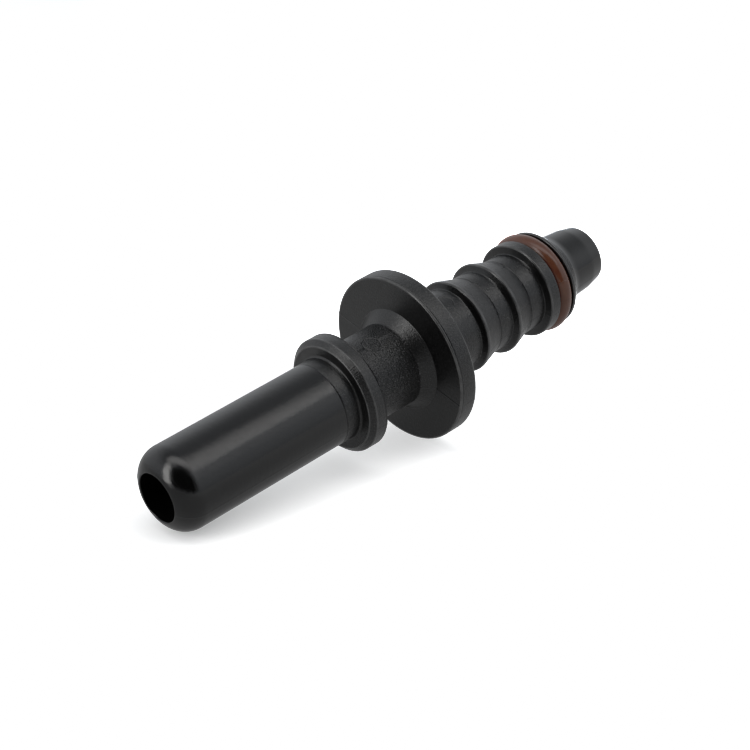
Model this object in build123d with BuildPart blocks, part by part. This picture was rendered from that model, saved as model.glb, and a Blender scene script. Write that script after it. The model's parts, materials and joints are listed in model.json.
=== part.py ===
import os
from math import asin, atan2, cos, hypot, radians, sin, sqrt, tan

from build123d import *

# A quick disconnect coupling for a small fluid line. One end is a plain spigot with a latching bead,
# the middle is a round stop flange, and the other end is a barbed hose stem with a seal ring.
# The body is one moulding. The ring is a separate rubber piece stretched into its groove.
# A station is a distance along the turning axis from the front of the spigot. Sizes are in millimetres.

# Flow bore, open from end to end
bore_diameter = 4.56
mouth_round = 0.1

# Spigot that a female quick connector takes
spigot_diameter = 7.89
spigot_length = 19.65
tip_round = 2.36

# Latching bead, with a bevelled front rim that opens the latch
bead_diameter = 10.98
bead_width = 1.7
bead_bevel = 0.52

# Neck that the latch drops behind, and the cone that stiffens the flange
neck_diameter = 7.9
neck_length = 5.55
hub_height = 1.04

# Stop flange
flange_diameter = 16.1
flange_width = 1.84

# Hose stem, which narrows a little towards the nose to leave the mould
stem_root_diameter = 8.04
stem_end_diameter = 7.7
stem_length = 5.02

# Hose barbs, each with a steep face towards the flange, a narrow crest and a long cone
barb_count = 2
barb_diameter = 9.06
barb_lean = 0.3
barb_crest = 0.2
barb_cone_length = 2.02
barb_gap = 1.67

# Wide land that backs the seal ring
land_diameter = 9.33
land_lean = 0.15
land_width = 1.32
land_gap = 1.9

# Seal ring, and the clearances in its groove
ring_section = 1.72
groove_diameter = 6.4
floor_gap = 0.01
side_gap = 0.02

# Collar that keeps the ring on, and the tapered nose that starts the hose. The nose is a thin wall
# around the bore, and the back of the collar sweeps down into it after a short straight stretch.
collar_diameter = 9.46
collar_width = 0.25
shoulder_lean = 0.36
shoulder_straight = 0.1
nose_root_wall = 1.1
nose_length = 4.35
lead_wall = 0.89
lead_length = 1.58
lead_blend = 4.0
nose_end_wall = 0.57
nose_round = 0.25

# Small radii that the mould leaves in its corners and on its edges
root_radius = 0.25
foot_radius = 0.12
edge_radius = 0.15
crest_radius = 0.08

# Round marks of two ejector pins, which stand square to the mould's parting plane
ejector_diameter = 1.65
ejector_depth = 0.04
stem_mark_gap = 1.52
mould_turn = 17.0

# Radii from the turning axis
bore_radius = bore_diameter / 2
spigot_radius = spigot_diameter / 2
bead_radius = bead_diameter / 2
neck_radius = neck_diameter / 2
hub_radius = neck_radius + hub_height
flange_radius = flange_diameter / 2
barb_radius = barb_diameter / 2
land_radius = land_diameter / 2
groove_radius = groove_diameter / 2
ring_radius = groove_radius + floor_gap + ring_section / 2
collar_radius = collar_diameter / 2
nose_root_radius = bore_radius + nose_root_wall
lead_radius = bore_radius + lead_wall
nose_end_radius = bore_radius + nose_end_wall

# Stations
bead_back = spigot_length + bead_width
hub_front = bead_back + neck_length
flange_front = hub_front + hub_height
flange_back = flange_front + flange_width
first_barb = flange_back + stem_length
barb_pitch = barb_lean + barb_crest + barb_cone_length + barb_gap
land_front = first_barb + barb_count * barb_pitch - barb_gap + land_gap
land_back = land_front + land_width
ring_station = land_back + side_gap + ring_section / 2
collar_front = land_back + ring_section + 2 * side_gap
collar_back = collar_front + collar_width
nose_root = collar_back + shoulder_lean
lead_front = collar_back + nose_length
nose_end = lead_front + lead_length
neck_mark = bead_back + neck_length / 2
stem_mark = first_barb - stem_mark_gap


def stem_radius(station):
    """Radius of the drafted stem between the flange and the land."""
    share = (station - flange_back) / (land_front - flange_back)
    return (stem_root_diameter + share * (stem_end_diameter - stem_root_diameter)) / 2


# The round between the collar and the nose is as large as the collar's back face leaves room for
collar_turn = atan2(collar_radius - nose_root_radius, shoulder_lean)
nose_taper = atan2(nose_root_radius - lead_radius, lead_front - nose_root)
crest_reach = crest_radius * tan(collar_turn / 2)
shoulder_reach = hypot(shoulder_lean, collar_radius - nose_root_radius) - crest_reach - shoulder_straight
shoulder_blend = shoulder_reach / tan((collar_turn - nose_taper) / 2)

# Outline of the body from the spigot's front to the end of the nose: station, radius, corner radius
outline = [
    (0, spigot_radius, tip_round),
    (spigot_length, spigot_radius, root_radius),
    (spigot_length, bead_radius - bead_bevel, edge_radius),
    (spigot_length + bead_bevel, bead_radius, edge_radius),
    (bead_back, bead_radius, crest_radius),
    (bead_back, neck_radius, foot_radius),
    (hub_front, neck_radius, root_radius),
    (flange_front, hub_radius, foot_radius),
    (flange_front, flange_radius, edge_radius),
    (flange_back, flange_radius, edge_radius),
    (flange_back, stem_radius(flange_back), root_radius),
]
for barb in range(barb_count):
    barb_front = first_barb + barb * barb_pitch
    cone_front = barb_front + barb_lean + barb_crest
    cone_back = cone_front + barb_cone_length
    outline += [
        (barb_front, stem_radius(barb_front), foot_radius),
        (barb_front + barb_lean, barb_radius, crest_radius),
        (cone_front, barb_radius, crest_radius),
        (cone_back, stem_radius(cone_back), foot_radius),
    ]
outline += [
    (land_front, stem_radius(land_front), foot_radius),
    (land_front + land_lean, land_radius, edge_radius),
    (land_back, land_radius, crest_radius),
    (land_back, groove_radius, foot_radius),
    (collar_front, groove_radius, foot_radius),
    (collar_front, collar_radius, crest_radius),
    (collar_back, collar_radius, crest_radius),
    (nose_root, nose_root_radius, shoulder_blend),
    (lead_front, lead_radius, lead_blend),
    (nose_end, nose_end_radius, nose_round),
]
corner_points = [(station, radius) for station, radius, corner in outline]
corner_radii = [corner for station, radius, corner in outline]

# The part lies on the round of the spigot's tip and on the front edge of the flange, so its axis
# rises by the slope of the line that touches both rounds from below.
tip_centre = (tip_round, spigot_radius - tip_round)
rim_centre = (flange_front + edge_radius, flange_radius - edge_radius)
reach = rim_centre[0] - tip_centre[0]
rise = rim_centre[1] - tip_centre[1]
slope = atan2(rise, reach) - asin((tip_round - edge_radius) / hypot(reach, rise))

# Centres of the two rounds that end the part along X: the bore's mouth and the nose's end
mouth_radius = bore_radius + mouth_round
mouth_depth = sqrt((tip_round - mouth_round) ** 2 - (mouth_radius - tip_centre[1]) ** 2)
mouth_centre = (tip_round - mouth_depth, mouth_radius)
lead_taper = atan2(lead_radius - nose_end_radius, lead_length)
nose_inset = nose_round * (1 - sin(lead_taper)) / cos(lead_taper)
nose_centre = (nose_end - nose_round, nose_end_radius - nose_inset)

# The origin is on the surface that the part lies on, under the middle of its length
low_x = mouth_centre[0] * cos(slope) - mouth_centre[1] * sin(slope) - mouth_round
high_x = nose_centre[0] * cos(slope) + nose_centre[1] * sin(slope) + nose_round
front_x = -(low_x + high_x) / 2
front_z = tip_centre[1] * cos(slope) - tip_centre[0] * sin(slope) + tip_round
axis_direction = Vector(cos(slope), 0, sin(slope))
front_point = Vector(front_x, 0, front_z)
turning_axis = Axis(front_point, axis_direction)
turning_plane = Plane(front_point, x_dir=axis_direction, z_dir=(0, -1, 0))


def cross_plane(station):
    """Plane square to the turning axis, facing the nose."""
    return Plane(front_point + axis_direction * station, z_dir=axis_direction)


def ejector_plane(station):
    """Plane through the turning axis that faces the ejector pins."""
    turn = radians(mould_turn)
    facing = (-sin(slope) * cos(turn), -sin(turn), cos(slope) * cos(turn))
    return Plane(front_point + axis_direction * station, x_dir=axis_direction, z_dir=facing)


# Each mark is a shallow round recess whose floor follows the turned surface
with BuildPart() as ejector_marks:
    for station, surface_radius in ((neck_mark, neck_radius), (stem_mark, stem_radius(stem_mark))):
        with BuildSketch(ejector_plane(station)):
            Circle(ejector_diameter / 2)
        extrude(amount=surface_radius + ejector_depth)
        with BuildSketch(cross_plane(station - ejector_diameter)):
            Circle(surface_radius - ejector_depth)
        extrude(amount=2 * ejector_diameter, mode=Mode.SUBTRACT)

with BuildPart() as coupling_body:
    with BuildSketch(turning_plane) as section:
        with BuildLine():
            FilletPolyline((0, 0), *corner_points, (nose_end, 0), radius=corner_radii)
            Line((nose_end, 0), (0, 0))
        make_face()
        Rectangle(nose_end, bore_radius, align=Align.MIN, mode=Mode.SUBTRACT)
        bore_corners = section.vertices().group_by(Axis.Y)[0]
        fillet(bore_corners.sort_by(Axis.X)[0], mouth_round)
    revolve(axis=turning_axis)
    add(ejector_marks.part, mode=Mode.SUBTRACT)
coupling_body.part.label = "coupling_body"

with BuildPart() as o_ring:
    with BuildSketch(turning_plane):
        with Locations((ring_station, ring_radius)):
            Circle(ring_section / 2)
    revolve(axis=turning_axis)
o_ring.part.label = "o_ring"

os.makedirs("parts", exist_ok=True)
export_step(coupling_body.part, "parts/coupling_body.step")
export_step(o_ring.part, "parts/o_ring.step")
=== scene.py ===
import json
import math
import bpy
from mathutils import Matrix, Vector


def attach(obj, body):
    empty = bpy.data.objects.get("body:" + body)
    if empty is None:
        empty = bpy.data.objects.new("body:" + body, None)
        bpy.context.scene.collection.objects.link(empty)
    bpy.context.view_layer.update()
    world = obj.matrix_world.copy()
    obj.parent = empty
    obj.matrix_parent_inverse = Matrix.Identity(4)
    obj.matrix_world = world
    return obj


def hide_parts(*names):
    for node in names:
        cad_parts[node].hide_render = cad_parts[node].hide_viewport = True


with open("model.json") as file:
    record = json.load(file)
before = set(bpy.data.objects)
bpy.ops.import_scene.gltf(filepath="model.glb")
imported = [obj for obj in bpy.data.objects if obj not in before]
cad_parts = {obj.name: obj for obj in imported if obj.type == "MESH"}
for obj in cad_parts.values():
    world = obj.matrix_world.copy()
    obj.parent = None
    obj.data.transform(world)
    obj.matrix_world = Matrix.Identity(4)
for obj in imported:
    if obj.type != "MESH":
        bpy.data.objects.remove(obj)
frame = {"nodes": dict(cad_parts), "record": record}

# A quick disconnect coupling on a white table: one black moulding and one brown seal ring.
# Sizes are given in millimetres and turned to metres with mm.
# A station is the distance along the turning axis from the front of the spigot.
# A turn is an angle round that axis, 0 straight up and positive towards +Y.
mm = 0.001

for spare in ("Cube", "Light", "Camera"):
    if spare in bpy.data.objects:
        bpy.data.objects.remove(bpy.data.objects[spare])
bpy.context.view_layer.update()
print("frame loaded:", ", ".join(frame["nodes"]))

# The bore mount stands at the middle of the bore and gives the turning axis. It points out of the spigot,
# so the axis runs the other way.
flowBore = next(mount for mount in frame["record"]["mounts"] if mount["name"] == "flow_bore")
boreMiddle = 26.457 * mm
axisWay = -Vector(flowBore["axis"])
axisSlope = math.atan2(axisWay.z, axisWay.x)
frontPoint = Vector(flowBore["pos_m"]) - axisWay * boreMiddle


def hexColour(code):
    # sRGB hex to the linear colour that the shaders take
    parts = [int(code[i:i + 2], 16) / 255 for i in (1, 3, 5)]
    return [c / 12.92 if c <= 0.04045 else ((c + 0.055) / 1.055) ** 2.4 for c in parts] + [1]


def addObject(name, data):
    item = bpy.data.objects.new(name, data)
    bpy.context.scene.collection.objects.link(item)
    return item


def addNode(tree, kind, inputs=(), output=0, **settings):
    # inputs holds values and sockets to link from: a list in the inputs' order, or a dictionary by their
    # names or numbers. The output of that name or number comes back, or the whole node for None.
    node = tree.nodes.new(kind)
    for name, value in settings.items():
        setattr(node, name, value)
    for key, value in inputs.items() if isinstance(inputs, dict) else enumerate(inputs):
        if isinstance(value, bpy.types.NodeSocket):
            tree.links.new(value, node.inputs[key])
        else:
            node.inputs[key].default_value = value
    return node if output is None else node.outputs[output]


def setCurve(mapping, line, points):
    # Straight runs between the points. The curve's own two points become the first and the last.
    curve = mapping.curves[line]
    curve.points[0].location, curve.points[-1].location = points[0], points[-1]
    for x, y in points[1:-1]:
        curve.points.new(x, y)
    for point in curve.points:
        point.handle_type = "VECTOR"
    mapping.update()


# The camera has the photograph's place and lens
cameraView = {
    "place": (-106.821, -114.041, 77.453),
    "aim": (9.474, 11.737, 0.0),
    "lens": 91.0,
    "sensorWidth": 36,
    "nearest": 5,
}
camera = addObject("camera", bpy.data.cameras.new("camera"))
camera.location = Vector(cameraView["place"]) * mm
aimWay = Vector(cameraView["aim"]) - Vector(cameraView["place"])
camera.rotation_euler = aimWay.to_track_quat("-Z", "Y").to_euler()
camera.data.lens = cameraView["lens"]
camera.data.sensor_width = cameraView["sensorWidth"]
camera.data.clip_start = cameraView["nearest"] * mm
bpy.context.scene.camera = camera
print("camera placed")


# Turned pieces. The outline is a closed loop of stations and radii, and the tree rounds its corners,
# turns it about the axis and adds what the mould leaves: ejector marks and parting lines.
# Outer edges with a round between least and most are worn glossy and painted paler, partly wear and partly a
# painted highlight; their gloss ends margin past the round.
wornHighlitEdges = {"least": 0.06, "most": 1.0, "margin": 0.04}
mergeReach = 0.0002 * mm


def arcPoints(centre, radius, startTurn, endTurn, steps):
    angles = [math.radians(startTurn + (endTurn - startTurn) * k / steps) for k in range(steps + 1)]
    return [(centre[0] + radius * math.cos(a), centre[1] + radius * math.sin(a), 0, 1) for a in angles]


def withGlossyEdges(corners):
    # A row just past each end of a worn edge's round keeps the gloss and the painted edge highlight on the
    # round
    count = len(corners)
    margin = wornHighlitEdges["margin"]

    def turnAt(k):
        # The material is on the right, so an outer edge turns right and its angle is negative
        (s0, r0), (s1, r1), (s2, r2) = (corners[i % count][:2] for i in (k - 1, k, k + 1))
        turn = math.atan2(r2 - r1, s2 - s1) - math.atan2(r1 - r0, s1 - s0)
        return (turn + math.pi) % (2 * math.pi) - math.pi

    def roundLength(k):
        # How much of each run beside a corner its round takes up
        return corners[k % count][2] * math.tan(abs(turnAt(k)) / 2)

    finished = []
    for k, (station, radius, rounding, steps) in enumerate(corners):
        wornHighlitEdge = wornHighlitEdges["least"] < rounding < wornHighlitEdges["most"] and turnAt(k) < 0
        rows = [(station, radius, rounding, steps, 1.0 if wornHighlitEdge else 0.0)]
        for neighbour in (k - 1, k + 1):
            other = corners[neighbour % count]
            run = math.hypot(other[0] - station, other[1] - radius)
            reach = roundLength(k) + margin
            if wornHighlitEdge and run > reach + roundLength(neighbour) + margin:
                share = reach / run
                place = [a + (b - a) * share for a, b in zip((station, radius), other)]
                row = (place[0], place[1], 0, 1, 0.0)
                rows = [row] + rows if neighbour < k else rows + [row]
        finished += rows
    return finished


def outlineObject(name, corners):
    # corners are (station, radius, corner radius, corner steps, gloss)
    mesh = bpy.data.meshes.new(name)
    count = len(corners)
    spots = [(corner[0] * mm, corner[1] * mm, 0) for corner in corners]
    mesh.from_pydata(spots, [(k, (k + 1) % count) for k in range(count)], [])
    for label, kind, values in (("cornerRadius", "FLOAT", [corner[2] * mm for corner in corners]),
                                ("cornerSteps", "INT", [corner[3] for corner in corners]),
                                ("edgeGloss", "FLOAT", [corner[4] for corner in corners])):
        mesh.attributes.new(label, kind, "POINT").data.foreach_set("value", values)
    return addObject(name, mesh)


def turningTree(name, columns):
    # columns are (turn in degrees, number of columns up to that turn from the one before)
    tree = bpy.data.node_groups.new(name, "GeometryNodeTree")
    face = tree.interface
    face.new_socket("Geometry", in_out="INPUT", socket_type="NodeSocketGeometry")
    kinds = {"Front Point": "NodeSocketVector", "Material": "NodeSocketMaterial"}
    for label in ("Slope", "Front Point", "First Mark Station", "Second Mark Station", "Mark Turn",
                  "Mark Diameter", "Mark Depth", "Mark Edge", "Parting Turn", "Parting Height",
                  "Parting Width", "Parting Inner Radius", "Material"):
        face.new_socket(label, in_out="INPUT", socket_type=kinds.get(label, "NodeSocketFloat"))
    face.new_socket("Geometry", in_out="OUTPUT", socket_type="NodeSocketGeometry")
    given = addNode(tree, "NodeGroupInput", output=None).outputs

    # Rounded outline
    loop = addNode(tree, "GeometryNodeMeshToCurve", {"Mesh": given["Geometry"]})
    steps = addNode(tree, "GeometryNodeInputNamedAttribute", {"Name": "cornerSteps"}, data_type="INT")
    rounds = addNode(tree, "GeometryNodeInputNamedAttribute", {"Name": "cornerRadius"}, data_type="FLOAT")
    rounded = addNode(tree, "GeometryNodeFilletCurve", {"Curve": loop, "Count": steps, "Radius": rounds},
                      mode="POLY")
    pointCount = addNode(tree, "GeometryNodeAttributeDomainSize", {"Geometry": rounded}, component="CURVE")

    # A grid with one row for each point of the outline and one column for each direction
    columnCount = sum(number for edge, number in columns)
    rowCount = addNode(tree, "ShaderNodeMath", [pointCount, 1], operation="ADD")
    inputs = {"Vertices X": rowCount, "Vertices Y": columnCount + 1}
    grid = addNode(tree, "GeometryNodeMeshGrid", inputs, "Mesh")
    index = addNode(tree, "GeometryNodeInputIndex")
    # Half a point more keeps the division clear of a whole number
    row = addNode(tree, "ShaderNodeMath", [index, 0.5], operation="ADD")
    row = addNode(tree, "ShaderNodeMath", [row, columnCount + 1], operation="DIVIDE")
    row = addNode(tree, "ShaderNodeMath", [row], operation="FLOOR")
    rowStart = addNode(tree, "ShaderNodeMath", [row, columnCount + 1], operation="MULTIPLY")
    column = addNode(tree, "ShaderNodeMath", [index, rowStart], operation="SUBTRACT")
    row = addNode(tree, "ShaderNodeMath", [row, pointCount], operation="FLOORED_MODULO")

    # What the rounded outline holds at each row
    position = addNode(tree, "GeometryNodeInputPosition")
    direction = addNode(tree, "GeometryNodeInputTangent")
    gloss = addNode(tree, "GeometryNodeInputNamedAttribute", {"Name": "edgeGloss"}, data_type="FLOAT")
    held = []
    for value, kind in ((position, "FLOAT_VECTOR"), (direction, "FLOAT_VECTOR"), (gloss, "FLOAT")):
        inputs = {"Geometry": rounded, "Value": value, "Index": row}
        held.append(addNode(tree, "GeometryNodeSampleIndex", inputs, data_type=kind, domain="POINT"))
    place, tangent, edgeGloss = held
    station, radius = addNode(tree, "ShaderNodeSeparateXYZ", [place], None).outputs[:2]
    tangentStation, tangentRadius = addNode(tree, "ShaderNodeSeparateXYZ", [tangent], None).outputs[:2]

    # Columns gather where the surface has something to show
    share = addNode(tree, "ShaderNodeMath", [column, columnCount], operation="DIVIDE")
    spread = addNode(tree, "ShaderNodeFloatCurve", {"Value": share}, None)
    shares, done = [(0, 0)], 0
    for edge, number in columns:
        done += number
        shares.append((done / columnCount, (edge + 180) / 360))
    setCurve(spread.mapping, 0, shares)
    turn = addNode(tree, "ShaderNodeMath", [spread.outputs[0], 0.5], operation="SUBTRACT")
    turn = addNode(tree, "ShaderNodeMath", [turn, 2 * math.pi], operation="MULTIPLY")

    # Ejector marks: the fine ring round each pin's end, square to the parting plane, on the outside only
    fromMark = addNode(tree, "ShaderNodeMath", [turn, given["Mark Turn"]], operation="SUBTRACT")
    across = addNode(tree, "ShaderNodeMath", [fromMark], operation="SINE")
    across = addNode(tree, "ShaderNodeMath", [radius, across], operation="MULTIPLY")
    across = addNode(tree, "ShaderNodeMath", [across, across], operation="MULTIPLY")
    markRadius = addNode(tree, "ShaderNodeMath", [given["Mark Diameter"], 2], operation="DIVIDE")
    rings = []
    for label in ("First Mark Station", "Second Mark Station"):
        along = addNode(tree, "ShaderNodeMath", [station, given[label]], operation="SUBTRACT")
        along = addNode(tree, "ShaderNodeMath", [along, along], operation="MULTIPLY")
        away = addNode(tree, "ShaderNodeMath", [along, across], operation="ADD")
        away = addNode(tree, "ShaderNodeMath", [away], operation="SQRT")
        away = addNode(tree, "ShaderNodeMath", [away, markRadius], operation="SUBTRACT")
        away = addNode(tree, "ShaderNodeMath", [away], operation="ABSOLUTE")
        inputs = {"Value": away, "From Min": 0, "From Max": given["Mark Edge"],
                  "To Min": given["Mark Depth"], "To Max": 0}
        rings.append(addNode(tree, "ShaderNodeMapRange", inputs, interpolation_type="SMOOTHSTEP"))
    depth = addNode(tree, "ShaderNodeMath", rings, operation="MAXIMUM")
    facing = addNode(tree, "ShaderNodeMath", [fromMark], operation="COSINE")
    facing = addNode(tree, "ShaderNodeMath", [facing, 0], operation="GREATER_THAN")
    innerRadius = given["Parting Inner Radius"]
    outside = addNode(tree, "ShaderNodeMath", [radius, innerRadius], operation="GREATER_THAN")
    depth = addNode(tree, "ShaderNodeMath", [depth, facing], operation="MULTIPLY")
    depth = addNode(tree, "ShaderNodeMath", [depth, outside], operation="MULTIPLY")

    # Parting lines: a fine ridge on two opposite sides, where the halves of the mould met
    aside = addNode(tree, "ShaderNodeMath", [turn, given["Parting Turn"]], operation="SUBTRACT")
    aside = addNode(tree, "ShaderNodeMath", [aside], operation="SINE")
    aside = addNode(tree, "ShaderNodeMath", [radius, aside], operation="MULTIPLY")
    aside = addNode(tree, "ShaderNodeMath", [aside], operation="ABSOLUTE")
    inputs = {"Value": aside, "From Min": 0, "From Max": given["Parting Width"],
              "To Min": given["Parting Height"], "To Max": 0}
    ridge = addNode(tree, "ShaderNodeMapRange", inputs, interpolation_type="SMOOTHSTEP")
    ridge = addNode(tree, "ShaderNodeMath", [ridge, outside], operation="MULTIPLY")
    lift = addNode(tree, "ShaderNodeMath", [ridge, depth], operation="SUBTRACT")

    # The outline runs with the material on its right, so its outward side is the tangent turned left
    back = addNode(tree, "ShaderNodeMath", [lift, tangentRadius], operation="MULTIPLY")
    outward = addNode(tree, "ShaderNodeMath", [lift, tangentStation], operation="MULTIPLY")
    liftedStation = addNode(tree, "ShaderNodeMath", [station, back], operation="SUBTRACT")
    liftedRadius = addNode(tree, "ShaderNodeMath", [radius, outward], operation="ADD")
    sideways = addNode(tree, "ShaderNodeMath", [turn], operation="SINE")
    sideways = addNode(tree, "ShaderNodeMath", [liftedRadius, sideways], operation="MULTIPLY")
    upward = addNode(tree, "ShaderNodeMath", [turn], operation="COSINE")
    upward = addNode(tree, "ShaderNodeMath", [liftedRadius, upward], operation="MULTIPLY")
    spot = addNode(tree, "ShaderNodeCombineXYZ", [liftedStation, sideways, upward])
    tilt = addNode(tree, "ShaderNodeMath", [given["Slope"], -1], operation="MULTIPLY")
    tilt = addNode(tree, "ShaderNodeCombineXYZ", {1: tilt})

    turned = addNode(tree, "GeometryNodeSetPosition", {"Geometry": grid, "Position": spot})
    inputs = {"Geometry": turned, "Name": "edgeGloss", "Value": edgeGloss}
    marked = addNode(tree, "GeometryNodeStoreNamedAttribute", inputs, data_type="FLOAT", domain="POINT")
    merged = addNode(tree, "GeometryNodeMergeByDistance", {"Geometry": marked, "Distance": mergeReach})
    inputs = {"Geometry": merged, "Translation": given["Front Point"], "Rotation": tilt}
    lying = addNode(tree, "GeometryNodeTransform", inputs)
    smooth = addNode(tree, "GeometryNodeSetShadeSmooth", {"Geometry": lying})
    real = addNode(tree, "GeometryNodeRealizeInstances", {"Geometry": smooth})
    dressed = addNode(tree, "GeometryNodeSetMaterial", {"Geometry": real, "Material": given["Material"]})
    addNode(tree, "NodeGroupOutput", {"Geometry": dressed}, None)
    return tree


def turningSettings(values, firstMark, secondMark, material):
    # What the tree is given, from a piece's own dictionary
    return {
        "Slope": axisSlope,
        "Front Point": tuple(frontPoint),
        "First Mark Station": firstMark * mm,
        "Second Mark Station": secondMark * mm,
        "Mark Turn": math.radians(values["markTurn"]),
        "Mark Diameter": values["markDiameter"] * mm,
        "Mark Depth": values["markDepth"] * mm,
        "Mark Edge": values["markEdge"] * mm,
        "Parting Turn": math.radians(values["partingTurn"]),
        "Parting Height": values["partingHeight"] * mm,
        "Parting Width": values["partingWidth"] * mm,
        "Parting Inner Radius": values["partingInner"] * mm,
        "Material": material,
    }


def turnPiece(name, corners, columns, settings):
    working = outlineObject(name + "Outline", withGlossyEdges(corners))
    tree = turningTree(name + "Turning", columns)
    turning = working.modifiers.new("turning", "NODES")
    turning.node_group = tree
    for item in tree.interface.items_tree:
        if item.in_out == "INPUT" and item.name in settings:
            turning[item.identifier] = settings[item.name]
    weighted = working.modifiers.new("weighted", "WEIGHTED_NORMAL")
    weighted.keep_sharp = False
    graph = bpy.context.evaluated_depsgraph_get()
    finished = working.evaluated_get(graph)
    mesh = bpy.data.meshes.new_from_object(finished, preserve_all_data_layers=True, depsgraph=graph)
    mesh.name = name
    piece = addObject(name, mesh)
    outline = working.data
    bpy.data.objects.remove(working)
    bpy.data.meshes.remove(outline)
    print(name, "turned:", len(mesh.polygons), "faces")
    return piece


def newMaterial(name):
    material = bpy.data.materials.new(name)
    material.use_nodes = True
    material.node_tree.nodes.clear()
    return material, material.node_tree


def partSpot(tree):
    # Object coordinates turned so that X is the station, which keeps every pattern with the part
    spot = addNode(tree, "ShaderNodeTexCoord", output="Object")
    spot = addNode(tree, "ShaderNodeVectorMath", [spot, tuple(frontPoint)], operation="SUBTRACT")
    inputs = {"Vector": spot, "Angle": axisSlope}
    return addNode(tree, "ShaderNodeVectorRotate", inputs, rotation_type="Y_AXIS")


def grainAt(tree, spot, along, around, detail=2.0, roughness=0.5):
    # A pattern whose grains are that many millimetres long along the axis and across it
    scale = (1 / (along * mm), 1 / (around * mm), 1 / (around * mm))
    stretched = addNode(tree, "ShaderNodeMapping", {"Vector": spot, "Scale": scale})
    inputs = {"Vector": stretched, "Scale": 1.0, "Detail": detail, "Roughness": roughness}
    return addNode(tree, "ShaderNodeTexNoise", inputs, "Fac")


# Glass-filled nylon, injection moulded in deep black. Nearly all that the eye gets is soft gloss: the colour
# itself is almost black. The spigot's mould was polished on a lathe, which leaves fine streaks round it.
# The rest of the mould was spark eroded, which leaves a fine peened grain that breaks the gloss up, with
# glass fibres that show as paler specks, which also stand in as painted glints of the grain. Edges and the
# faces square to the axis are smoother, and the outer edges are painted paler, partly wear and partly a
# painted highlight.
# Real streaks and pits are roughly 0.05 mm wide and fibres 0.01 mm, too fine to show, so all of them are
# drawn coarser here.
nylon = {
    "dark": "#060606",
    "light": "#0d0d0d",
    "ior": 1.54,
    # paler specks: partly glass fibres, partly painted glints of the grain
    "fibreGlint": "#4a4a4a",
    # paler edge colour: partly wear, partly a painted highlight along the outer edges
    "wornHighlitEdge": "#505050",
    "polishedRoughness": 0.15,
    "erodedRoughness": 0.31,
    "stemRoughness": 0.29,
    "edgeRoughness": 0.17,
    "cloudRoughness": 0.12,
    "cloudGrain": 1.2,
    "erodedFront": 18.05,
    "erodedBack": 29.9,
    "stemBack": 46.9,
    "streakAlong": 0.14,
    "streakAround": 0.6,
    "streakDepth": 0.022,
    "noseStreaks": 0.12,
    "peenGrain": 0.14,
    "peenDepth": 0.075,
    "stemGrain": 0.14,
    "stemStretch": 2,
    "stemDepth": 0.07,
    "faceGrain": 0.45,
    "faceStart": 0.55,
    "faceFull": 0.9,
    "fibreGlintGrain": 0.1,
    "fibreGlintLow": 0.52,
    "fibreGlintHigh": 0.72,
    "polishedCover": 0.8,
    "wornHighlitLow": 0.1,
    "wornHighlitHigh": 0.7,
    "neckFront": 21.4,
    "neckBack": 26.95,
    "calmGrain": 0.5,
    "bevelFront": 19.6,
    "bevelBack": 20.2,
    "bevelRadius": 5,
    "bevelGrain": 0.09,
    "bevelDepth": 0.03,
}


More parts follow.
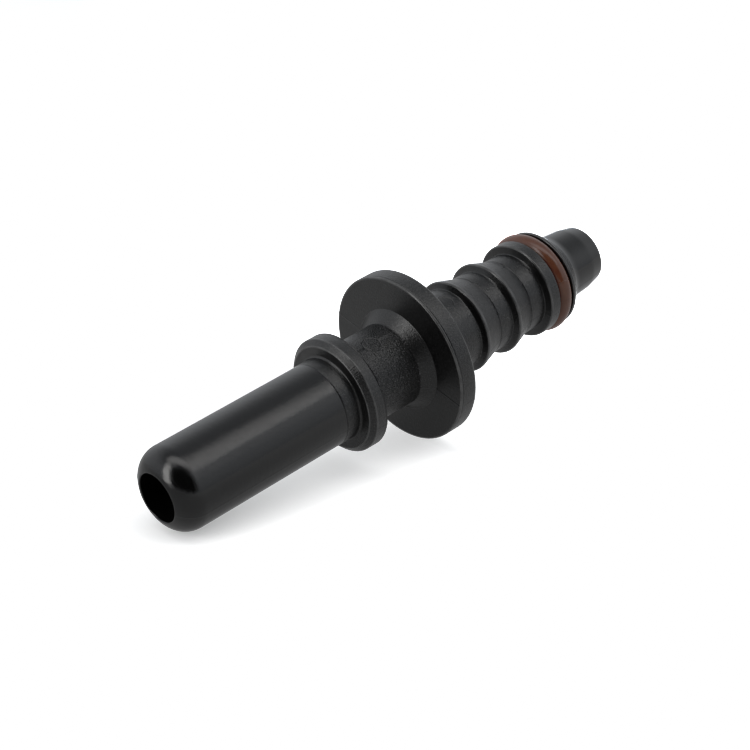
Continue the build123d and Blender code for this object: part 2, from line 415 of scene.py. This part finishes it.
def makeNylon():
    material, tree = newMaterial("glass-filled PA66, moulded black")
    n = nylon
    spot = partSpot(tree)
    station, sideways, upward = addNode(tree, "ShaderNodeSeparateXYZ", [spot], None).outputs

    def between(front, back):
        # 1 between two stations and 0 elsewhere
        past = addNode(tree, "ShaderNodeMath", [station, n[front] * mm], operation="GREATER_THAN")
        before = addNode(tree, "ShaderNodeMath", [station, n[back] * mm], operation="LESS_THAN")
        return addNode(tree, "ShaderNodeMath", [past, before], operation="MULTIPLY")

    def relief(grain, depth, area):
        # Centred on no height, so that a grain leaves no step where it ends
        centred = addNode(tree, "ShaderNodeMath", [grain, 0.5], operation="SUBTRACT")
        scaled = addNode(tree, "ShaderNodeMath", [centred, n[depth]], operation="MULTIPLY")
        return addNode(tree, "ShaderNodeMath", [scaled, area], operation="MULTIPLY")

    eroded = between("erodedFront", "erodedBack")
    stem = between("erodedBack", "stemBack")
    polished = addNode(tree, "ShaderNodeMath", [1.0, eroded], operation="SUBTRACT")
    polished = addNode(tree, "ShaderNodeMath", [polished, stem], operation="SUBTRACT")
    unpolished = addNode(tree, "ShaderNodeMath", [1.0, polished], operation="SUBTRACT")

    streaks = grainAt(tree, spot, n["streakAlong"], n["streakAround"], detail=3.0, roughness=0.6)
    peen = grainAt(tree, spot, n["peenGrain"], n["peenGrain"])
    fine = grainAt(tree, spot, n["stemGrain"], n["stemGrain"] * n["stemStretch"])
    cloud = grainAt(tree, spot, n["cloudGrain"], n["cloudGrain"], detail=3.0)

    # Faces square to the axis have less grain, and rubbed edges have none
    gloss = addNode(tree, "ShaderNodeAttribute", output="Fac", attribute_name="edgeGloss")
    unrubbed = addNode(tree, "ShaderNodeMath", [1.0, gloss], operation="SUBTRACT")
    normal = addNode(tree, "ShaderNodeNewGeometry", output="Normal")
    square = addNode(tree, "ShaderNodeVectorMath", [normal, tuple(axisWay)], "Value", operation="DOT_PRODUCT")
    square = addNode(tree, "ShaderNodeMath", [square], operation="ABSOLUTE")
    inputs = {"Value": square, "From Min": n["faceStart"], "From Max": n["faceFull"],
              "To Min": 1.0, "To Max": n["faceGrain"]}
    onFace = addNode(tree, "ShaderNodeMapRange", inputs, interpolation_type="SMOOTHSTEP")
    # The neck has the coarsest grain: the hub, the rims, the barbs and the land are calmer
    neck = between("neckFront", "neckBack")
    coarser = addNode(tree, "ShaderNodeMath", [neck, 1.0 - n["calmGrain"]], operation="MULTIPLY")
    coarser = addNode(tree, "ShaderNodeMath", [n["calmGrain"], coarser], operation="ADD")
    onFace = addNode(tree, "ShaderNodeMath", [onFace, coarser], operation="MULTIPLY")
    peened = relief(peen, "peenDepth", eroded)
    grained = relief(fine, "stemDepth", stem)
    grained = addNode(tree, "ShaderNodeMath", [peened, grained], operation="ADD")
    grained = addNode(tree, "ShaderNodeMath", [grained, unrubbed], operation="MULTIPLY")
    grained = addNode(tree, "ShaderNodeMath", [grained, onFace], operation="MULTIPLY")

    # The nose is polished too, with fainter streaks
    beforeNose = addNode(tree, "ShaderNodeMath", [station, n["stemBack"] * mm], operation="LESS_THAN")
    fuller = addNode(tree, "ShaderNodeMath", [beforeNose, 1.0 - n["noseStreaks"]], operation="MULTIPLY")
    fuller = addNode(tree, "ShaderNodeMath", [n["noseStreaks"], fuller], operation="ADD")
    streaked = addNode(tree, "ShaderNodeMath", [polished, fuller], operation="MULTIPLY")
    streaked = relief(streaks, "streakDepth", streaked)

    # The bead's face and bevel keep the tool's marks, which run outwards from the axis
    outward = addNode(tree, "ShaderNodeCombineXYZ", {1: sideways, 2: upward})
    outward = addNode(tree, "ShaderNodeVectorMath", [outward], operation="NORMALIZE")
    ray = addNode(tree, "ShaderNodeVectorMath", {0: outward, 3: n["bevelRadius"] * mm}, operation="SCALE")
    toolMarks = grainAt(tree, ray, n["bevelGrain"], n["bevelGrain"])
    toolMarks = relief(toolMarks, "bevelDepth", between("bevelFront", "bevelBack"))
    height = addNode(tree, "ShaderNodeMath", [streaked, grained], operation="ADD")
    height = addNode(tree, "ShaderNodeMath", [height, toolMarks], operation="ADD")
    bump = addNode(tree, "ShaderNodeBump", {"Height": height, "Distance": mm, "Strength": 1.0})

    rough = addNode(tree, "ShaderNodeMath", [cloud, 0.5], operation="SUBTRACT")
    rough = addNode(tree, "ShaderNodeMath", [rough, n["cloudRoughness"]], operation="MULTIPLY")
    for area, level in ((polished, n["polishedRoughness"]), (eroded, n["erodedRoughness"]),
                        (stem, n["stemRoughness"])):
        here = addNode(tree, "ShaderNodeMath", [area, level], operation="MULTIPLY")
        rough = addNode(tree, "ShaderNodeMath", [rough, here], operation="ADD")
    edge = addNode(tree, "ShaderNodeMath", [gloss, unpolished], operation="MULTIPLY")
    rough = addNode(tree, "ShaderNodeMix", {0: edge, 2: rough, 3: n["edgeRoughness"]})

    # Paler specks, partly glass fibres and partly painted glints of the grain, show less through the polished
    # skin
    inputs = {0: peen, 6: hexColour(n["dark"]), 7: hexColour(n["light"])}
    colour = addNode(tree, "ShaderNodeMix", inputs, 2, data_type="RGBA")
    fibreGlints = grainAt(tree, spot, n["fibreGlintGrain"], n["fibreGlintGrain"], detail=1.0)
    inputs = {"Value": fibreGlints, "From Min": n["fibreGlintLow"], "From Max": n["fibreGlintHigh"]}
    fibreGlints = addNode(tree, "ShaderNodeMapRange", inputs)
    # The specks thin out on the faces square to the axis and off the neck; on those faces this is painted
    # shade that keeps them darker
    fibreGlints = addNode(tree, "ShaderNodeMath", [fibreGlints, onFace], operation="MULTIPLY")
    covered = addNode(tree, "ShaderNodeMath", [polished, n["polishedCover"]], operation="MULTIPLY")
    covered = addNode(tree, "ShaderNodeMath", [1.0, covered], operation="SUBTRACT")
    fibreGlints = addNode(tree, "ShaderNodeMath", [fibreGlints, covered], operation="MULTIPLY")
    inputs = {0: fibreGlints, 6: colour, 7: hexColour(n["fibreGlint"])}
    colour = addNode(tree, "ShaderNodeMix", inputs, 2, data_type="RGBA")
    # The outer edges are painted paler, unevenly: partly wear from handling, partly a painted highlight along
    # the edge
    inputs = {"Value": cloud, "From Min": n["wornHighlitLow"], "From Max": n["wornHighlitHigh"]}
    wornHighlit = addNode(tree, "ShaderNodeMapRange", inputs)
    wornHighlit = addNode(tree, "ShaderNodeMath", [wornHighlit, gloss], operation="MULTIPLY")
    inputs = {0: wornHighlit, 6: colour, 7: hexColour(n["wornHighlitEdge"])}
    colour = addNode(tree, "ShaderNodeMix", inputs, 2, data_type="RGBA")
    inputs = {"Base Color": colour, "Roughness": rough, "IOR": n["ior"], "Normal": bump}
    shader = addNode(tree, "ShaderNodeBsdfPrincipled", inputs)
    addNode(tree, "ShaderNodeOutputMaterial", {"Surface": shader}, None)
    return material


# Fluoroelastomer, pressed in a heated mould: brown all through, satin, with a faint cloudiness
rubber = {
    "dark": "#523327",
    "light": "#654133",
    "ior": 1.46,
    "roughness": 0.24,
    "cloudGrain": 0.5,
    "cloudDepth": 0.01,
}


def makeRubber():
    material, tree = newMaterial("FKM rubber, moulded brown")
    cloud = grainAt(tree, partSpot(tree), rubber["cloudGrain"], rubber["cloudGrain"], detail=3.0)
    inputs = {0: cloud, 6: hexColour(rubber["dark"]), 7: hexColour(rubber["light"])}
    colour = addNode(tree, "ShaderNodeMix", inputs, 2, data_type="RGBA")
    inputs = {"Height": cloud, "Distance": rubber["cloudDepth"] * mm, "Strength": 1.0}
    bump = addNode(tree, "ShaderNodeBump", inputs)
    inputs = {"Base Color": colour, "Roughness": rubber["roughness"], "IOR": rubber["ior"], "Normal": bump}
    shader = addNode(tree, "ShaderNodeBsdfPrincipled", inputs)
    addNode(tree, "ShaderNodeOutputMaterial", {"Surface": shader}, None)
    return material


moulding = {
    "boreRadius": 2.28, "boreEdgeRound": 0.05, "mouthRound": 0.1, "mouthStation": 0.2444,
    "spigotRadius": 3.945, "spigotLength": 19.65, "tipRound": 2.36,
    "beadRadius": 5.49, "beadWidth": 1.7, "beadBevel": 0.52, "beadBackRound": 0.04,
    "neckRadius": 3.95, "neckLength": 5.55, "hubHeight": 1.04,
    "flangeRadius": 8.05, "flangeWidth": 1.84,
    "stemRootRadius": 4.02, "stemEndRadius": 3.85, "stemLength": 5.02,
    "barbs": 2, "barbRadius": 4.53, "barbLean": 0.3, "barbCrest": 0.2, "barbCone": 2.02, "barbGap": 1.67,
    "barbFrontRound": 0.16, "barbBackRound": 0.6,
    "landRadius": 4.665, "landLean": 0.15, "landWidth": 1.32, "landGap": 1.9,
    "grooveRadius": 3.2, "grooveWidth": 1.76,
    "collarRadius": 4.73, "collarWidth": 0.25, "shoulderLean": 1.54, "shoulderBlend": 2.2,
    "noseRootRadius": 3.38, "noseLength": 4.35, "leadRadius": 3.17, "leadLength": 1.58, "leadBlend": 4.0,
    "noseEndRadius": 2.85, "noseRound": 0.25,
    "rootRound": 0.25, "footRound": 0.12, "edgeRound": 0.15, "crestRound": 0.08,
    "markDiameter": 1.65, "markDepth": 0.055, "markEdge": 0.07, "markTurn": -17.0, "stemMarkGap": 1.52,
    "markReach": 0.9, "markRows": 48,
    "partingTurn": 73, "partingHeight": 0.02, "partingWidth": 0.05, "partingInner": 2.7,
    "grainLine": 18.08, "beadLine": 0.13, "flangeLine": 0.24, "coneLine": 0.08,
    "lineWidth": 0.12, "lineDepth": 0.035, "lineRound": 0.02,
    "columns": [(-108, 30), (-106, 8), (-31, 34), (-3, 60), (72, 34), (74, 8), (180, 46)],
}


def mouldingOutline(m):
    # Corners are (station, radius, corner radius, corner steps), from the bore's mouth round to its other end
    beadBack = m["spigotLength"] + m["beadWidth"]
    hubFront = beadBack + m["neckLength"]
    flangeFront = hubFront + m["hubHeight"]
    flangeBack = flangeFront + m["flangeWidth"]
    firstBarb = flangeBack + m["stemLength"]
    barbPitch = m["barbLean"] + m["barbCrest"] + m["barbCone"] + m["barbGap"]
    landFront = firstBarb + m["barbs"] * barbPitch - m["barbGap"] + m["landGap"]
    landBack = landFront + m["landWidth"]
    collarFront = landBack + m["grooveWidth"]
    collarBack = collarFront + m["collarWidth"]
    leadFront = collarBack + m["noseLength"]
    noseEnd = leadFront + m["leadLength"]
    neckMark = beadBack + m["neckLength"] / 2
    stemMark = firstBarb - m["stemMarkGap"]

    def stemRadius(station):
        share = (station - flangeBack) / (landFront - flangeBack)
        return m["stemRootRadius"] + share * (m["stemEndRadius"] - m["stemRootRadius"])

    def fineGroove(station, radiusAt):
        # The line that a joint between two mould inserts leaves
        half, lineRound = m["lineWidth"] / 2, m["lineRound"]
        return [
            (station - half, radiusAt(station - half), lineRound, 2),
            (station, radiusAt(station) - m["lineDepth"], lineRound, 2),
            (station + half, radiusAt(station + half), lineRound, 2),
        ]

    def markRows(station, radiusAt):
        # Closer rows, so that a mark's fine ring comes out round
        reach, rows = m["markReach"], m["markRows"]
        stations = [station - reach + 2 * reach * k / rows for k in range(rows + 1)]
        return [(s, radiusAt(s), 0, 1) for s in stations]

    edge, foot, crest, root = m["edgeRound"], m["footRound"], m["crestRound"], m["rootRound"]
    tipCentre = (m["tipRound"], m["spigotRadius"] - m["tipRound"])
    mouthCentre = (m["mouthStation"], m["boreRadius"] + m["mouthRound"])
    contact = math.degrees(math.atan2(mouthCentre[1] - tipCentre[1], mouthCentre[0] - tipCentre[0]))
    corners = arcPoints(mouthCentre, m["mouthRound"], 270, contact, 8)[:-1]
    corners += arcPoints(tipCentre, m["tipRound"], contact, 90, 26)
    corners += fineGroove(m["grainLine"], lambda s: m["spigotRadius"])
    corners += [
        (m["spigotLength"], m["spigotRadius"], root, 7),
        (m["spigotLength"], m["beadRadius"] - m["beadBevel"], edge, 5),
        (m["spigotLength"] + m["beadBevel"], m["beadRadius"], edge, 5),
    ]
    corners += fineGroove(beadBack - m["beadLine"], lambda s: m["beadRadius"])
    corners += [
        (beadBack, m["beadRadius"], m["beadBackRound"], 4),
        (beadBack, m["neckRadius"], foot, 6),
    ]
    corners += markRows(neckMark, lambda s: m["neckRadius"])
    corners += [
        (hubFront, m["neckRadius"], root, 5),
        (flangeFront, m["neckRadius"] + m["hubHeight"], foot, 6),
        (flangeFront, m["flangeRadius"], edge, 7),
    ]
    corners += fineGroove(flangeFront + m["flangeLine"], lambda s: m["flangeRadius"])
    corners += [
        (flangeBack, m["flangeRadius"], edge, 7),
        (flangeBack, m["stemRootRadius"], root, 7),
    ]
    corners += markRows(stemMark, stemRadius)
    for k in range(m["barbs"]):
        front = firstBarb + k * barbPitch
        cone = front + m["barbLean"] + m["barbCrest"]
        corners += [
            (front, stemRadius(front), foot, 5),
            (front + m["barbLean"], m["barbRadius"], m["barbFrontRound"], 7),
            (cone, m["barbRadius"], m["barbBackRound"], 4),
            (cone + m["barbCone"], stemRadius(cone + m["barbCone"]), foot, 4),
        ]
        corners += fineGroove(cone + m["barbCone"] + m["coneLine"], stemRadius)
    corners += [
        (landFront, stemRadius(landFront), foot, 5),
        (landFront + m["landLean"], m["landRadius"], edge, 6),
        (landBack, m["landRadius"], crest, 5),
        (landBack, m["grooveRadius"], foot, 5),
        (collarFront, m["grooveRadius"], foot, 5),
        (collarFront, m["collarRadius"], crest, 5),
        (collarBack, m["collarRadius"], crest, 5),
        (collarBack + m["shoulderLean"], m["noseRootRadius"], m["shoulderBlend"], 16),
        (leadFront, m["leadRadius"], m["leadBlend"], 8),
        (noseEnd, m["noseEndRadius"], m["noseRound"], 8),
        (noseEnd, m["boreRadius"], m["boreEdgeRound"], 3),
    ]
    return corners, neckMark, stemMark


mouldingCorners, neckMark, stemMark = mouldingOutline(moulding)
mouldingSettings = turningSettings(moulding, neckMark, stemMark, makeNylon())
couplingBody = turnPiece("couplingBody", mouldingCorners, moulding["columns"], mouldingSettings)

# The seal ring's parting line leaves a small nib. The ring has no ejector marks, so their depth is 0 and
# their other sizes only have to be valid.
sealRing = {
    "station": 45.61, "radius": 4.07, "section": 1.72,
    "markDiameter": 0.001, "markDepth": 0.0, "markEdge": 0.0005, "markTurn": 0.0, "markStation": 0.0,
    "partingTurn": -70.0, "partingHeight": 0.03, "partingWidth": 0.07, "partingInner": 4.0,
    "columns": [(-73, 50), (-67, 24), (107, 76), (113, 24), (180, 30)],
}
ringCentre = (sealRing["station"], sealRing["radius"])
ringCorners = arcPoints(ringCentre, sealRing["section"] / 2, 180, -180, 48)[:-1]
ringSettings = turningSettings(sealRing, sealRing["markStation"], sealRing["markStation"], makeRubber())
oRing = turnPiece("oRing", ringCorners, sealRing["columns"], ringSettings)

for piece, node, slot in ((couplingBody, "coupling_body", "body"), (oRing, "o_ring", "seal")):
    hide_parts(node)
    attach(piece, "root")

# A light table stands in a light tent. The table glows from below, which keeps the shadows pale.
# Its lamp is to the right of the part, so the glow is stronger on that side. Far from the part, where
# the soft boxes reach less, the table glows more and stays white.
lightTable = {
    "size": 3000,
    "colour": "#9a9a9a",
    "glowColour": "#ffffff",
    "lampWay": (0.8, -0.6, 0.0),
    "lampReach": 35,
    "glowFar": 0.18,
    "glowNear": 0.38,
    "rimStart": 120,
    "rimEnd": 300,
    "rimGlow": 0.5,
}


def makeAcrylic():
    # Opal acrylic, cast and left matt: the eye gets an even white with no shine
    material, tree = newMaterial("opal acrylic table")
    t = lightTable
    spot = addNode(tree, "ShaderNodeTexCoord", output="Object")
    towards = addNode(tree, "ShaderNodeVectorMath", [spot, t["lampWay"]], "Value", operation="DOT_PRODUCT")
    inputs = {"Value": towards, "From Min": -t["lampReach"] * mm, "From Max": t["lampReach"] * mm,
              "To Min": t["glowFar"], "To Max": t["glowNear"]}
    glow = addNode(tree, "ShaderNodeMapRange", inputs)
    away = addNode(tree, "ShaderNodeVectorMath", [spot], "Value", operation="LENGTH")
    inputs = {"Value": away, "From Min": t["rimStart"] * mm, "From Max": t["rimEnd"] * mm,
              "To Min": 0.0, "To Max": t["rimGlow"]}
    rimGlow = addNode(tree, "ShaderNodeMapRange", inputs)
    glow = addNode(tree, "ShaderNodeMath", [glow, rimGlow], operation="MAXIMUM")
    inputs = {"Base Color": hexColour(t["colour"]), "Roughness": 1.0, "Specular IOR Level": 0.0,
              "Emission Color": hexColour(t["glowColour"]), "Emission Strength": glow}
    shader = addNode(tree, "ShaderNodeBsdfPrincipled", inputs)
    addNode(tree, "ShaderNodeOutputMaterial", {"Surface": shader}, None)
    return material


half = lightTable["size"] / 2 * mm
tableMesh = bpy.data.meshes.new("table")
tableCorners = [(-half, -half, 0), (half, -half, 0), (half, half, 0), (-half, half, 0)]
tableMesh.from_pydata(tableCorners, [], [(0, 1, 2, 3)])
tableMesh.materials.append(makeAcrylic())
table = addObject("table", tableMesh)
print("table placed")

# The tent's brightness goes by the height of the direction, 0 at the horizon and 1 straight up. It is open
# on one side, which the tip mirrors as a dark oval, with a low sill that keeps the horizon white. The right
# wall is lit from outside and is brightest about halfway up.
tent = {
    "colour": "#f8fbff",
    "heights": [(0.0, 0.6), (0.17, 0.72), (0.34, 0.82), (0.5, 0.82), (0.64, 0.68), (0.77, 0.52),
                (0.87, 0.46), (1.0, 0.5)],
    "openingTurn": -130,
    "openingRise": 22,
    "openingInner": 38,
    "openingOuter": 49,
    "sillFoot": 0.02,
    "sillTop": 0.06,
    "glowTurn": -68,
    "glowNarrow": 0.1,
    "glowWide": 0.28,
    "glowHeights": [(0.0, 0.0), (0.38, 0.0), (0.5, 0.2), (0.64, 0.55), (0.74, 0.6), (0.86, 0.0), (1.0, 0.0)],
}


def makeTent():
    world = bpy.data.worlds.new("light tent")
    bpy.context.scene.world = world
    world.use_nodes = True
    tree = world.node_tree
    tree.nodes.clear()
    way = addNode(tree, "ShaderNodeTexCoord", output="Generated")
    height = addNode(tree, "ShaderNodeSeparateXYZ", [way], 2)
    walls = addNode(tree, "ShaderNodeFloatCurve", {"Value": height}, None)
    setCurve(walls.mapping, 0, tent["heights"])

    # The lit wall
    inputs = {"Vector": way, "Angle": -math.radians(tent["glowTurn"])}
    turned = addNode(tree, "ShaderNodeVectorRotate", inputs, rotation_type="Z_AXIS")
    towards, sideways = addNode(tree, "ShaderNodeSeparateXYZ", [turned], None).outputs[:2]
    off = addNode(tree, "ShaderNodeMath", [sideways], operation="ABSOLUTE")
    inputs = {"Value": off, "From Min": tent["glowNarrow"], "From Max": tent["glowWide"],
              "To Min": 1.0, "To Max": 0.0}
    across = addNode(tree, "ShaderNodeMapRange", inputs, interpolation_type="SMOOTHSTEP")
    upward = addNode(tree, "ShaderNodeFloatCurve", {"Value": height}, None)
    setCurve(upward.mapping, 0, tent["glowHeights"])
    glow = addNode(tree, "ShaderNodeMath", [across, upward.outputs[0]], operation="MULTIPLY")
    front = addNode(tree, "ShaderNodeMath", [towards, 0.0], operation="GREATER_THAN")
    bright = addNode(tree, "ShaderNodeMath", [glow, front, walls.outputs[0]], operation="MULTIPLY_ADD")

    # The opening and its sill
    turn, rise = math.radians(tent["openingTurn"]), math.radians(tent["openingRise"])
    opening = (math.cos(turn) * math.cos(rise), math.sin(turn) * math.cos(rise), math.sin(rise))
    nearness = addNode(tree, "ShaderNodeVectorMath", [way, opening], "Value", operation="DOT_PRODUCT")
    inputs = {"Value": nearness, "From Min": math.cos(math.radians(tent["openingOuter"])),
              "From Max": math.cos(math.radians(tent["openingInner"])), "To Min": 0.0, "To Max": 1.0}
    dark = addNode(tree, "ShaderNodeMapRange", inputs, interpolation_type="SMOOTHSTEP")
    inputs = {"Value": height, "From Min": tent["sillFoot"], "From Max": tent["sillTop"]}
    sill = addNode(tree, "ShaderNodeMapRange", inputs)
    dark = addNode(tree, "ShaderNodeMath", [dark, sill], operation="MULTIPLY")
    left = addNode(tree, "ShaderNodeMath", [1.0, dark], operation="SUBTRACT")
    strength = addNode(tree, "ShaderNodeMath", [bright, left], operation="MULTIPLY")
    light = addNode(tree, "ShaderNodeBackground", {"Color": hexColour(tent["colour"]), "Strength": strength})
    addNode(tree, "ShaderNodeOutputWorld", {"Surface": light}, None)


# brightness is what a surface that mirrors the box would show, with the white table near 1
softBoxes = {
    "overhead": {"place": (14, -86, 400), "aim": (14, -86, 0), "spin": 137.2,
                 "width": 650, "height": 164, "brightness": 1.6},
    "left strip": {"place": (-342, 62, 170), "aim": (0, 0, 100), "spin": 6,
                   "width": 104, "height": 380, "brightness": 3.6},
}
softBoxColour = (1.0, 0.985, 0.965)


def addSoftBox(name, values):
    lamp = bpy.data.lights.new(name, "AREA")
    lamp.shape = "RECTANGLE"
    lamp.size = values["width"] * mm
    lamp.size_y = values["height"] * mm
    lamp.energy = values["brightness"] * math.pi * lamp.size * lamp.size_y
    lamp.color = softBoxColour
    box = addObject(name, lamp)
    place = Vector(values["place"])
    box.location = place * mm
    facing = (Vector(values["aim"]) - place).to_track_quat("-Z", "Y").to_matrix()
    box.rotation_euler = (facing @ Matrix.Rotation(math.radians(values["spin"]), 3, "Z")).to_euler()
    box.visible_camera = False


makeTent()
for name, values in softBoxes.items():
    addSoftBox(name, values)
print("tent and soft boxes placed")

# As in the photograph, the deepest tones are a little deeper and the table's level becomes white
tones = [(0.0, 0.0), (0.02, 0.0145), (0.045, 0.0448), (0.2, 0.2), (0.4, 1.0), (1.0, 1.0)]
view = bpy.context.scene.view_settings
view.view_transform = "Standard"
view.use_curve_mapping = True
setCurve(view.curve_mapping, 3, tones)
print("tones set")

print("pieces ready")
